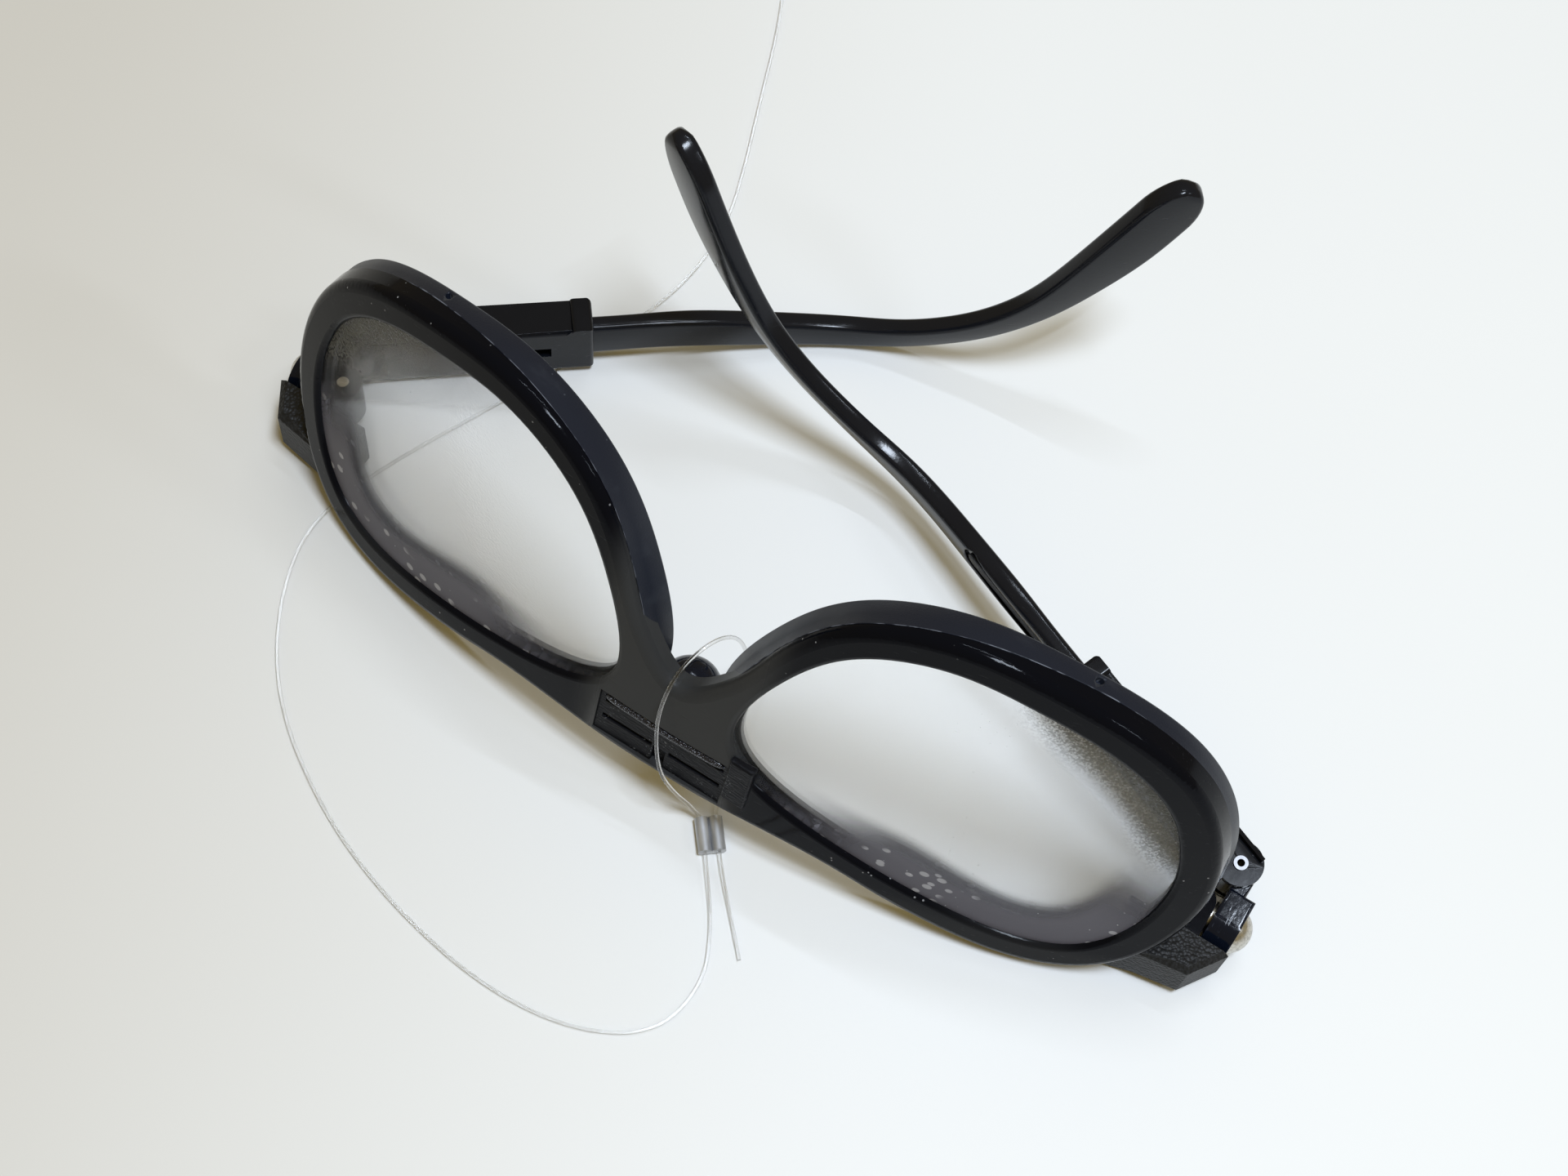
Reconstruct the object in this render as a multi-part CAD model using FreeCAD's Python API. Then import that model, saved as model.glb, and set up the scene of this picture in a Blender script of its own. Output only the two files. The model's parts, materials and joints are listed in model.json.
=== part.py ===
# Full-rim safety eyeglasses with tilting, folding, length-adjustable temples and a nylon tether.
# They lie upside down on a table, on the brow edge, with both temples partly folded and crossed.
# Row frame: +X to the wearer's right, +Y from the front towards the ears, +Z up from the table.
# The origin is on the table, under the middle of the bridge's front face. Lengths in mm.
import FreeCAD, Part
import math, os
from FreeCAD import Vector, Placement, Rotation

os.makedirs("parts", exist_ok=True)

# ---- front: measured in the front's own plane, u sideways, v up from the brow, w backwards ----
FACE_CURVE = 170.6          # radius of the front's curved face
FACE_TILT = 13.6            # lean of the front, top edge backwards
FACE_LIFT = 3.36            # height of v = 0 above the table
LENS_CENTRE = (40.2, 34.9)  # u, v of the point that the opening's radii start from
OPENING_RADII = (20.5, 16.5, 14.3, 14.5, 17.8, 22.5, 27.7, 35.4, 29.8, 29.3, 33.0, 26.7)
OPENING_STEP = 30.0         # degrees between two radii, from the temple side round by the cheek
RIM_WIDTH = 4.8
RIM_DEPTH = 3.3
NASAL_EASE = 1.3            # how much narrower the rim gets beside the nose
NASAL_TURN = 1.25           # turn where it starts to narrow
RIM_ROUND = 1.5
OPENING_ROUND = 0.8
BROW_EDGE_V = 4.7           # straight brow edge under the bridge
BRIDGE_HALF = 11.0
OUTER_TURNS = (0.62, 1.41)   # stretch of the opening that the rim's outer edge follows
OUTER_COUNT = 22
ARCH_V = 23.2               # top of the bridge, under the nose
ARCH_HALF = 4.6
ARCH_RISE = 4.0

# ---- lenses, cheek guards and the bridge's own pieces ----
LENS_THICK = 1.9
LENS_SET_BACK = 0.7
GROOVE_DEPTH = 0.9
GUARD_OUTSET = 4.6          # guard's outer and inner faces, out from the opening's edge
GUARD_INSET = 2.4
GUARD_BACK = 5.7
GUARD_START_V = 24.5
SADDLE_CENTRE = (-0.4, 6.4, 15.4)
SADDLE_RADII = (4.4, 4.4, 5.2)
CHANNEL_HALF = 9.6
CHANNEL_V = (6.2, 14.6)
CHANNEL_DEPTH = 1.8
INSERT_THICK = 1.3
GROOVES_U = ((-8.7, -1.2), (1.4, 9.0))
GROOVES_V = ((9.2, 9.9), (12.6, 13.1))
GROOVE_CUT = 0.5
NOTCH = (0.9, 9.6, 0.8)     # half width, top and depth of the strip's notch
BLOCK_U = (9.6, 13.1)
BLOCK_V = (8.6, 16.8)
BLOCK_PROUD = 0.25

# ---- hinge: lug, boss, rivet and link, in the row frame, right side ----
RIVET_Y = 25.4
RIVET_Z = 5.2
SHANK_R = 1.2
DOME_R = 2.9
DOME_HIGH = 1.8
BOSS_X = 67.2
BOSS_R = 2.6
BOSS_Z = (1.0, 8.3)
PIN_R = 0.85
PIN_RECESS = 0.15           # lock pin's top below the boss
LUG_Z = (0.8, 9.0)
LUG_PLAN = ((60.0, 20.9), (60.0, 13.5), (63.6, 14.6), (71.0, 15.8), (74.3, 20.9))
LUG_BEVEL = 0.8
LINK_X = (70.15, 73.9)
LINK_R = 4.3                # round front end of the link about the rivet
LINK_BACK_Y = 29.2
FOLD_X = 69.7
FOLD_Y = 32.4
EYELET_R = 0.78
EYELET_BORE = 0.5
EYELET_FLANGE = (0.16, 0.25)  # reach and thickness
KNUCKLE_R = 2.8
KNUCKLE_Z = (2.35, 8.85)
RUN_GAP = 0.06              # radial gap of a running fit
WASHER = (2.3, 0.3)         # radius and thickness

# ---- temple: x along the closed temple from the fold axis, y outwards, z up from the table ----
SLEEVE_START = 3.4
SLEEVE_END = 32.5
SLEEVE_HALF = 2.75
SLEEVE_Z = (0.95, 10.25)
SLEEVE_RIDGE = (-1.5, 12.0, 0.7, 0.8)   # start, end, width and height of the low ridge over the leaves
COLLAR = (3.0, 0.5)         # length and height of the raised end
WINDOW_X = (23.5, 26.5)
WINDOW_Z = (4.6, 6.6)
CAVITY_START = 6.5
LEAF_THICK = 1.15
LEAF_R = 3.0
ARM_HALF_THICK = 1.25
ARM_Z = (1.9, 8.7)
ARM_START = 12.0
RECESS_X = (36.5, 53.5)
RECESS_Z = (3.8, 7.4)
RECESS_DEPTH = 0.5
SLIDE_GAP = 0.06
# line of the ear hook and paddle: x, height of the middle line, half width
HOOK = ((44.0, 5.65, 3.05), (54.0, 4.5, 2.75), (64.0, 3.1, 2.2), (70.0, 3.3, 1.95),
        (76.0, 5.0, 1.75), (82.0, 8.6, 1.7), (88.0, 13.2, 1.65), (95.4, 20.4, 1.9),
        (99.2, 26.3, 3.2), (103.2, 32.0, 4.2), (107.0, 38.2, 4.2))
TIP_REACH = 4.9
# inward bow of the arm: x, bow
BOW = ((43.0, 0.0), (56.0, -0.2), (70.0, 0.5), (85.0, 4.6), (100.0, 7.2), (118.0, 5.6))

# ---- rest pose, degrees ----
FOLD_AT_REST = {"right": 20.9, "left": 38.9}   # from the closed line across the front
TILT_AT_REST = {"right": 10.4, "left": 0.0}

# ---- nylon tether ----
LINE_D = 0.5
CRIMP_AT = (9.8, 0.5, 0.95)
CRIMP_ALONG = (0.64, -0.77)
CRIMP_HALF_LENGTH = 2.35
CRIMP_R = 0.95
CRIMP_SPACING = 0.9
# from the left barrel, up the front of the bridge, over the arch, down behind, through the right barrel
LOOP_ROUTE = (
    (7.6, 1.73, 0.95), (5.9, 1.7, 3.2), (4.0, 0.6, 7.2), (1.8, 0.1, 12.0), (0.2, 1.3, 17.5),
    (-0.8, 3.3, 23.0), (-0.6, 6.9, 28.2), (1.0, 11.5, 30.4), (2.4, 15.2, 27.7), (3.7, 16.7, 22.2),
    (5.5, 15.0, 16.0), (7.0, 11.4, 10.0), (7.8, 7.8, 5.2), (8.0, 5.0, 2.2), (9.0, 2.9, 0.95),
    (12.0, -0.75, 0.95), (14.6, -3.7, 0.6), (18.0, -7.2, 0.27), (22.0, -11.4, 0.27))
# from the crimp, round the table in front, under the left corner and away behind the temples
LINE_ROUTE = (
    (10.6, -1.9, 0.95), (13.2, -5.2, 0.6), (16.6, -9.6, 0.27), (20.0, -16.6, 0.27),
    (18.4, -25.4, 0.27), (9.4, -30.7, 0.27), (-3.0, -32.2, 0.27), (-17.0, -30.2, 0.27),
    (-28.8, -26.6, 0.27), (-38.2, -22.0, 0.27), (-46.6, -16.4, 0.27), (-53.2, -9.4, 0.27),
    (-58.2, -0.8, 0.27), (-60.6, 7.6, 0.27), (-59.2, 16.2, 0.27), (-55.6, 26.6, 0.27),
    (-50.8, 38.0, 0.27), (-46.2, 50.0, 0.27), (-42.0, 61.6, 0.27), (-39.9, 72.6, 0.27),
    (-40.8, 83.4, 0.27), (-44.6, 94.2, 0.27), (-48.8, 104.6, 0.27), (-52.8, 115.0, 0.27),
    (-57.0, 124.4, 0.27), (-61.6, 132.6, 0.27))

FRONT = Placement(Vector(0, 0, FACE_LIFT), Rotation(Vector(1, 0, 0), -FACE_TILT))
MIRROR = (Vector(0, 0, 0), Vector(1, 0, 0))


# ---------------------------------------------------------------- helpers
def box(x, y, z):
    return Part.makeBox(x[1] - x[0], y[1] - y[0], z[1] - z[0], Vector(x[0], y[0], z[0]))


def cylinder(radius, start, direction, length):
    return Part.makeCylinder(radius, length, Vector(*start), Vector(*direction))


def mirrored(shape):
    return shape.mirror(*MIRROR)


def polygon_prism(points, low, high):
    loop = [Vector(x, y, low) for x, y in points]
    face = Part.Face(Part.makePolygon(loop + [loop[0]]))
    return face.extrude(Vector(0, 0, high - low))


def write(name, shape):
    shape.exportStep(f"parts/{name}.step")
    return shape


# ---------------------------------------------------------------- front
def opening_curve():
    points = []
    for k, radius in enumerate(OPENING_RADII):
        angle = math.radians(k * OPENING_STEP)
        points.append(Vector(LENS_CENTRE[0] + radius * math.cos(angle), 0,
                             LENS_CENTRE[1] + radius * math.sin(angle)))
    curve = Part.BSplineCurve()
    curve.interpolate(Points=points, PeriodicFlag=True)
    return curve


def outset_points(width, start, stop, count):
    """Points width(turn) outside the opening; turns start at the temple side."""
    curve = opening_curve()
    first, last = curve.FirstParameter, curve.LastParameter
    points = []
    for k in range(count):
        turn = start + (stop - start) * k / (count - 1)
        t = first + (last - first) * (turn % 1.0)
        along = curve.tangent(t)[0].normalize()
        points.append(curve.value(t) + Vector(along.z, 0, -along.x) * width(turn))
    return points


def rim_width(turn):
    past = max(0.0, turn - NASAL_TURN) / (OUTER_TURNS[1] - NASAL_TURN)
    return RIM_WIDTH - NASAL_EASE * past ** 2 * (3 - 2 * past)


def closed_prism(points):
    curve = Part.BSplineCurve()
    curve.interpolate(Points=points, PeriodicFlag=True)
    prism = Part.Face(Part.Wire([curve.toShape()])).extrude(Vector(0, 60, 0))
    prism.translate(Vector(0, -5, 0))
    return prism


def opening_prism(outset):
    return closed_prism(outset_points(lambda turn: outset, 0.0, 35 / 36, 36))


def front_outline_prism():
    """Both rims and the bridge in one smooth outline."""
    half = [Vector(BRIDGE_HALF, 0, BROW_EDGE_V)]
    half += outset_points(rim_width, *OUTER_TURNS, OUTER_COUNT)
    half.append(Vector(ARCH_HALF, 0, ARCH_V + ARCH_RISE))
    other = [Vector(-p.x, 0, p.z) for p in half[::-1]]
    return closed_prism([Vector(0, 0, BROW_EDGE_V)] + half + [Vector(0, 0, ARCH_V)] + other)


def face_layer(front, back):
    """The curved layer between two depths behind the front's face."""
    start = Vector(0, FACE_CURVE, -15)
    outer = Part.makeCylinder(FACE_CURVE - front, 90, start)
    inner = Part.makeCylinder(FACE_CURVE - back, 90, start)
    return outer.cut(inner)


def insert_solid():
    """Textured strip in the bridge's channel: two long grooves and a notch in the middle."""
    back = CHANNEL_DEPTH
    strip = box((-CHANNEL_HALF, CHANNEL_HALF), (back - INSERT_THICK, back), CHANNEL_V)
    front = back - INSERT_THICK
    for u in GROOVES_U:
        for v in GROOVES_V:
            strip = strip.cut(box(u, (front, front + GROOVE_CUT), v))
    half, top, deep = NOTCH
    return strip.cut(box((-half, half), (front, front + deep), (CHANNEL_V[0], top)))


def end_block_solid(lens):
    block = box(BLOCK_U, (-BLOCK_PROUD, CHANNEL_DEPTH), BLOCK_V).cut(lens)
    return max(block.Solids, key=lambda s: s.Volume)


def channel_void():
    return box((-CHANNEL_HALF, CHANNEL_HALF), (-2, CHANNEL_DEPTH), CHANNEL_V)


def lens_solid():
    """Curved sheet parallel to the front's face, its edge in the rim's groove."""
    sheet = opening_prism(GROOVE_DEPTH).common(face_layer(LENS_SET_BACK, LENS_SET_BACK + LENS_THICK))
    return max(sheet.common(box((0, 80), (-5, 40), (-5, 60))).Solids, key=lambda s: s.Volume)


def on_front_face(edge):
    """True for an edge that lies in the front's curved face."""
    for vertex in edge.discretize(5):
        if abs(math.hypot(vertex.x, vertex.y - FACE_CURVE) - FACE_CURVE) > 0.02:
            return False
    return True


def front_solid(lens):
    half = front_outline_prism().cut(opening_prism(0)).common(face_layer(0, RIM_DEPTH))
    half = half.common(box((0, 80), (-5, 60), (-10, 70)))
    half = max(half.Solids, key=lambda s: s.Volume)
    rim = sorted([e for e in half.Edges if on_front_face(e)], key=lambda e: e.Length)
    half = half.makeFillet(RIM_ROUND, [rim[-1]])
    rim = sorted([e for e in half.Edges if on_front_face(e)], key=lambda e: e.Length)
    half = half.makeFillet(OPENING_ROUND, [e for e in rim if e.BoundBox.XMin > 5 and e.Length > 140])
    whole = half.fuse(mirrored(half)).removeSplitter()
    cutters = [lens, mirrored(lens), channel_void(), insert_solid(), end_block_solid(lens)]
    return max(whole.cut(cutters).Solids, key=lambda s: s.Volume)


def guard_solid():
    ring = opening_prism(GUARD_OUTSET).cut(opening_prism(GUARD_INSET))
    ring = ring.common(face_layer(RIM_DEPTH, GUARD_BACK))
    ring = ring.common(box((0, 80), (-5, 40), (GUARD_START_V, 70)))
    return max(ring.Solids, key=lambda s: s.Volume)


def saddle_solid():
    ball = Part.makeSphere(1.0)
    stretch = FreeCAD.Matrix()
    stretch.scale(*SADDLE_RADII)
    stretch.move(Vector(*SADDLE_CENTRE))
    return ball.transformGeometry(stretch).common(face_layer(RIM_DEPTH, 30)).Solids[0]


# ---------------------------------------------------------------- hinge, right side
def rivet_solid():
    head_x = LINK_X[1] + 0.05
    shank = cylinder(SHANK_R, (BOSS_X - BOSS_R + 0.4, RIVET_Y, RIVET_Z), (1, 0, 0),
                     head_x - BOSS_X + BOSS_R - 0.4)
    ball_r = (DOME_R ** 2 + DOME_HIGH ** 2) / (2 * DOME_HIGH)
    ball = Part.makeSphere(ball_r, Vector(head_x + DOME_HIGH - ball_r, RIVET_Y, RIVET_Z))
    dome = ball.common(cylinder(DOME_R, (head_x, RIVET_Y, RIVET_Z), (1, 0, 0), DOME_HIGH + 1))
    return shank.fuse(dome).removeSplitter()


def boss_solid(front):
    core = cylinder(BOSS_R, (BOSS_X, RIVET_Y, BOSS_Z[0]), (0, 0, 1), BOSS_Z[1] - BOSS_Z[0])
    web = box((BOSS_X - BOSS_R, BOSS_X + BOSS_R), (LUG_PLAN[0][1], RIVET_Y), BOSS_Z)
    boss = core.fuse(web).removeSplitter().cut([rivet_solid(), pin_shape(PIN_RECESS), front])
    return max(boss.Solids, key=lambda s: s.Volume)


def pin_shape(above):
    """Lock pin's cylinder, from just over the rivet to this height above the pin's top."""
    low = RIVET_Z + SHANK_R + 0.2
    return cylinder(PIN_R, (BOSS_X, RIVET_Y, low), (0, 0, 1), BOSS_Z[1] - PIN_RECESS - low + above)


def washer_solid():
    x = LINK_X[0] - 0.05 - WASHER[1]
    disc = cylinder(WASHER[0], (x, RIVET_Y, RIVET_Z), (1, 0, 0), WASHER[1])
    return disc.cut(rivet_solid())


def lug_solid(front):
    lug = polygon_prism(LUG_PLAN, *LUG_Z)
    level = [e for e in lug.Edges if e.BoundBox.ZLength < 0.01]
    lug = lug.makeChamfer(LUG_BEVEL, [e for e in level if e.BoundBox.Center.x > 65
                                      and e.BoundBox.YLength > 0.5])
    return max(lug.cut(front).Solids, key=lambda s: s.Volume)


def link_solid():
    front_end = cylinder(LINK_R, (LINK_X[0], RIVET_Y, RIVET_Z), (1, 0, 0), LINK_X[1] - LINK_X[0])
    z = (RIVET_Z - LINK_R, RIVET_Z + LINK_R)
    body = front_end.fuse(box(LINK_X, (RIVET_Y, LINK_BACK_Y), z)).removeSplitter()
    knuckle = cylinder(KNUCKLE_R, (FOLD_X, FOLD_Y, KNUCKLE_Z[0]), (0, 0, 1),
                       KNUCKLE_Z[1] - KNUCKLE_Z[0])
    neck = box((LINK_X[0], FOLD_X + KNUCKLE_R), (LINK_BACK_Y - 1, FOLD_Y), KNUCKLE_Z)
    body = body.fuse([knuckle, neck]).removeSplitter()
    bore = cylinder(SHANK_R + RUN_GAP, (LINK_X[0] - 1, RIVET_Y, RIVET_Z), (1, 0, 0), 8)
    seat = cylinder(EYELET_R, (FOLD_X, FOLD_Y, 0), (0, 0, 1), 12)
    return body.cut([bore, seat])


def eyelet_solid():
    low, high = SLEEVE_Z[0] - 0.3, SLEEVE_Z[1] + 0.3
    tube = cylinder(EYELET_R, (FOLD_X, FOLD_Y, low), (0, 0, 1), high - low)
    reach, thick = EYELET_FLANGE
    for z in (low, high - thick):
        tube = tube.fuse(cylinder(EYELET_R + reach, (FOLD_X, FOLD_Y, z), (0, 0, 1), thick))
    hollow = cylinder(EYELET_BORE, (FOLD_X, FOLD_Y, low - 1), (0, 0, 1), high - low + 2)
    return tube.removeSplitter().cut(hollow)


# ---------------------------------------------------------------- temple, closed and left-handed
def sleeve_solid():
    z = SLEEVE_Z
    body = box((SLEEVE_START, SLEEVE_END), (-SLEEVE_HALF, SLEEVE_HALF), z)
    for low in (z[0], z[1] - LEAF_THICK):
        eye = cylinder(LEAF_R, (0, 0, low), (0, 0, 1), LEAF_THICK)
        plate = box((0, SLEEVE_START + 1), (-SLEEVE_HALF, SLEEVE_HALF), (low, low + LEAF_THICK))
        body = body.fuse([eye, plate])
    start, end, wide, high = SLEEVE_RIDGE
    ridge = box((start, end), (SLEEVE_HALF - wide, SLEEVE_HALF), (z[1], z[1] + high))
    collar = box((SLEEVE_END - COLLAR[0], SLEEVE_END), (-SLEEVE_HALF, SLEEVE_HALF), (z[1], z[1] + COLLAR[1]))
    body = body.fuse([ridge, collar]).removeSplitter()
    half = ARM_HALF_THICK + SLIDE_GAP
    cavity = box((CAVITY_START, SLEEVE_END + 1), (-half, half),
                 (ARM_Z[0] - SLIDE_GAP, ARM_Z[1] + SLIDE_GAP))
    window = box(WINDOW_X, (-SLEEVE_HALF - 1, 0), WINDOW_Z)
    bore = cylinder(EYELET_R + RUN_GAP, (0, 0, z[0] - 1), (0, 0, 1), 14)
    return body.cut([cavity, window, bore])


def smooth_edge(points):
    curve = Part.BSplineCurve()
    curve.interpolate(Points=points)
    return curve.toShape()


def arm_side_prism():
    """Side view of the arm: straight shank, then the ear hook that widens to a paddle."""
    upper, lower = [], []
    last = len(HOOK) - 1
    for k, (x, z, half) in enumerate(HOOK):
        before, after = HOOK[max(k - 1, 0)], HOOK[min(k + 1, last)]
        if k == 0:
            after = (x + 1, z, half)
            before = (x, z, half)
        along = Vector(after[0] - before[0], 0, after[1] - before[1]).normalize()
        normal = Vector(-along.z, 0, along.x)
        upper.append(Vector(x, 0, z) + normal * half)
        lower.append(Vector(x, 0, z) - normal * half)
    tip = Vector(HOOK[-1][0], 0, HOOK[-1][1]) + along * TIP_REACH
    a = Vector(ARM_START, 0, ARM_Z[1])
    b = Vector(ARM_START, 0, ARM_Z[0])
    edges = [Part.LineSegment(a, upper[0]).toShape(), smooth_edge(upper),
             Part.Arc(upper[-1], tip, lower[-1]).toShape(), smooth_edge(lower[::-1]),
             Part.LineSegment(lower[0], b).toShape(), Part.LineSegment(b, a).toShape()]
    prism = Part.Face(Part.Wire(edges)).extrude(Vector(0, 40, 0))
    prism.translate(Vector(0, -20, 0))
    return prism


def arm_plan_prism():
    """Plan of the arm: a thin strip that bows inwards behind the sleeve."""
    near = [Vector(x, -bow - ARM_HALF_THICK, 0) for x, bow in BOW]
    far = [Vector(x, -bow + ARM_HALF_THICK, 0) for x, bow in BOW]
    a = Vector(ARM_START, -ARM_HALF_THICK, 0)
    b = Vector(ARM_START, ARM_HALF_THICK, 0)
    along = Vector(1, 0, 0)
    strips = []
    for points in (near, far):
        curve = Part.BSplineCurve()
        curve.interpolate(Points=points, InitialTangent=along, FinalTangent=Vector(1, 0.15, 0))
        strips.append(curve.toShape())
    edges = [Part.LineSegment(a, near[0]).toShape(), strips[0],
             Part.LineSegment(near[-1], far[-1]).toShape(), strips[1],
             Part.LineSegment(far[0], b).toShape(), Part.LineSegment(b, a).toShape()]
    return Part.Face(Part.Wire(Part.__sortEdges__(edges))).extrude(Vector(0, 0, 60))


def arm_solid():
    arm = arm_side_prism().common(arm_plan_prism()).Solids[0]
    y = (-ARM_HALF_THICK - 3, -ARM_HALF_THICK + RECESS_DEPTH)
    recess = box(RECESS_X, y, RECESS_Z)
    end = cylinder((RECESS_Z[1] - RECESS_Z[0]) / 2, (RECESS_X[1], y[0], sum(RECESS_Z) / 2), (0, 1, 0), y[1] - y[0])
    return arm.cut(recess.fuse(end).removeSplitter())


# ---------------------------------------------------------------- placing the temples and links
def tilted(shape, side):
    turn = Rotation(Vector(1, 0, 0), TILT_AT_REST[side])
    centre = Vector(0, RIVET_Y, RIVET_Z)
    placed = shape.copy()
    placed.Placement = Placement(centre - turn.multVec(centre), turn).multiply(placed.Placement)
    return placed


def temple_at_rest(shape, side):
    placed = shape.copy() if side == "left" else mirrored(shape)
    sign = 1 if side == "left" else -1
    turn = Rotation(Vector(0, 0, 1), sign * FOLD_AT_REST[side])
    place = Placement(Vector(-sign * FOLD_X, FOLD_Y, 0), turn)
    placed.Placement = place.multiply(placed.Placement)
    return tilted(placed, side)


# ---------------------------------------------------------------- tether
def line_tube(route, label):
    """A tube along straight runs joined by tangent arcs, each as large as its runs allow."""
    points = [Vector(*p) for p in route]
    edges, start, tightest = [], points[0], 1e9
    for before, corner, after in zip(points, points[1:], points[2:]):
        run_in, run_out = corner - before, after - corner
        turn = run_in.getAngle(run_out)
        cut = 0.45 * min(run_in.Length, run_out.Length)
        tightest = min(tightest, cut / math.tan(turn / 2))
        a = corner - run_in.normalize() * cut
        b = corner + run_out.normalize() * cut
        inward = (run_out - run_in).normalize()
        radius = cut / math.tan(turn / 2)
        middle = corner + inward * (radius / math.cos(turn / 2) - radius)
        edges += [Part.LineSegment(start, a).toShape(), Part.Arc(a, middle, b).toShape()]
        start = b
    edges.append(Part.LineSegment(start, points[-1]).toShape())
    path = Part.Wire(edges)
    section = Part.Wire([Part.Circle(points[0], points[1] - points[0], LINE_D / 2).toShape()])
    tube = path.makePipeShell([section], True, False)
    expected = math.pi * LINE_D ** 2 / 4 * path.Length
    print(f"{label}: length {path.Length:.1f}, tightest radius {tightest:.1f},",
          f"volume {tube.Volume / expected:.4f} of section times length")
    return Part.Solid(tube.Shells[0]) if not tube.Solids else tube.Solids[0]


def crimp_solid(loop):
    along = Vector(CRIMP_ALONG[0], CRIMP_ALONG[1], 0).normalize()
    across = Vector(-along.y, along.x, 0)
    barrels = []
    for sign in (-1, 1):
        start = Vector(*CRIMP_AT) - along * CRIMP_HALF_LENGTH + across * (sign * CRIMP_SPACING)
        barrels.append(Part.makeCylinder(CRIMP_R, 2 * CRIMP_HALF_LENGTH, start, along))
    return barrels[0].fuse(barrels[1]).removeSplitter().cut(loop)


# ---------------------------------------------------------------- the whole part
lens = lens_solid()
front = front_solid(lens)
front_row = front.copy()
front_row.Placement = FRONT.multiply(front_row.Placement)
write("front_frame", front_row)
for name, shape in (("right_lens", lens), ("left_lens", mirrored(lens)),
                    ("right_cheek_guard", guard_solid()), ("left_cheek_guard", mirrored(guard_solid())),
                    ("nose_saddle", saddle_solid()), ("bridge_insert", insert_solid()),
                    ("bridge_end_block", end_block_solid(lens))):
    placed = shape.copy()
    placed.Placement = FRONT.multiply(placed.Placement)
    write(name, placed)

lug = lug_solid(front_row)
fixed = {"end_piece": lug, "pivot_boss": boss_solid(front_row), "lock_pin": pin_shape(0),
         "tilt_rivet": rivet_solid(), "friction_washer": washer_solid()}
tilting = {"hinge_link": link_solid(), "hinge_eyelet": eyelet_solid()}
folding = {"temple_sleeve": sleeve_solid(), "temple_arm": arm_solid()}
for side in ("right", "left"):
    for name, shape in fixed.items():
        write(f"{side}_{name}", shape if side == "right" else mirrored(shape))
    for name, shape in tilting.items():
        write(f"{side}_{name}", tilted(shape if side == "right" else mirrored(shape), side))
    for name, shape in folding.items():
        write(f"{side}_{name}", temple_at_rest(shape, side))

loop = line_tube(LOOP_ROUTE, "tether_loop")
write("tether_loop", loop)
write("tether_line", line_tube(LINE_ROUTE, "tether_line"))
write("crimp_sleeve", crimp_solid(loop))
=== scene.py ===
"""Clear wraparound protective eyeglasses lying upside down on a pale table, with a nylon tether."""
import bmesh
import bpy
import json
import math
import numpy as np
from mathutils import Matrix, Vector


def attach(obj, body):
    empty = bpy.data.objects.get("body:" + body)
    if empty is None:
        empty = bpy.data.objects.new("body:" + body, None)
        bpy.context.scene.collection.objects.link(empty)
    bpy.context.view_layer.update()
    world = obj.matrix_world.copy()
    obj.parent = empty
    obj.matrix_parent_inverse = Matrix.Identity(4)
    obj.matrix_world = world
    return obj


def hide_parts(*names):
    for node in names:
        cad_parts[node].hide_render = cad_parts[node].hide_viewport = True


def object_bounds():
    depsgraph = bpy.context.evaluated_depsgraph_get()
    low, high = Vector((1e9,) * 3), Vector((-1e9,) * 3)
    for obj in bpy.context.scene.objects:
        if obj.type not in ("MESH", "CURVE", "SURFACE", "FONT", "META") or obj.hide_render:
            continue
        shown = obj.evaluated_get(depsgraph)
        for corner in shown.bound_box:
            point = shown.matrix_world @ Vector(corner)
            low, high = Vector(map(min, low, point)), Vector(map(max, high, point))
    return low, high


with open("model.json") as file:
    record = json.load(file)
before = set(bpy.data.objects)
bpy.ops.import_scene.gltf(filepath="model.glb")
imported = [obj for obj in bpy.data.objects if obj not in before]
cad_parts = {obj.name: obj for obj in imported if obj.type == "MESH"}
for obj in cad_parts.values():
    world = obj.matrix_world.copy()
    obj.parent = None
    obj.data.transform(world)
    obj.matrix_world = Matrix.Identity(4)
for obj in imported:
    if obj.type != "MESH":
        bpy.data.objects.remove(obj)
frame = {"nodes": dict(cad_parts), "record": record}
cad_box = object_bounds()
scene = bpy.context.scene

# ---------------------------------------------------------------- camera
# A phone camera held over the table, looking down past the brow edge towards the ears,
# rolled a little to one side.
AZIMUTH, ELEVATION, ROLL = (math.radians(a) for a in (23.8026, 63.4319, 9.4277))
CAMERA_DISTANCE = 0.30373
CAMERA_TARGET = Vector((0.0024661, 0.0275927, 0.020))
CAMERA_LENS = 54.306        # on a 36 mm sensor

back = Vector((math.sin(AZIMUTH) * math.cos(ELEVATION), -math.cos(AZIMUTH) * math.cos(ELEVATION),
               math.sin(ELEVATION)))
level = Vector((math.cos(AZIMUTH), math.sin(AZIMUTH), 0))
right = Matrix.Rotation(ROLL, 3, back) @ level
camera_data = bpy.data.cameras.new("camera")
camera_data.lens = CAMERA_LENS
camera_data.clip_start = 0.01
camera = bpy.data.objects.new("camera", camera_data)
camera.matrix_world = Matrix.Translation(CAMERA_TARGET + back * CAMERA_DISTANCE) @ Matrix(
    (right, back.cross(right), back)).transposed().to_4x4()
scene.collection.objects.link(camera)
scene.camera = camera


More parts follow.
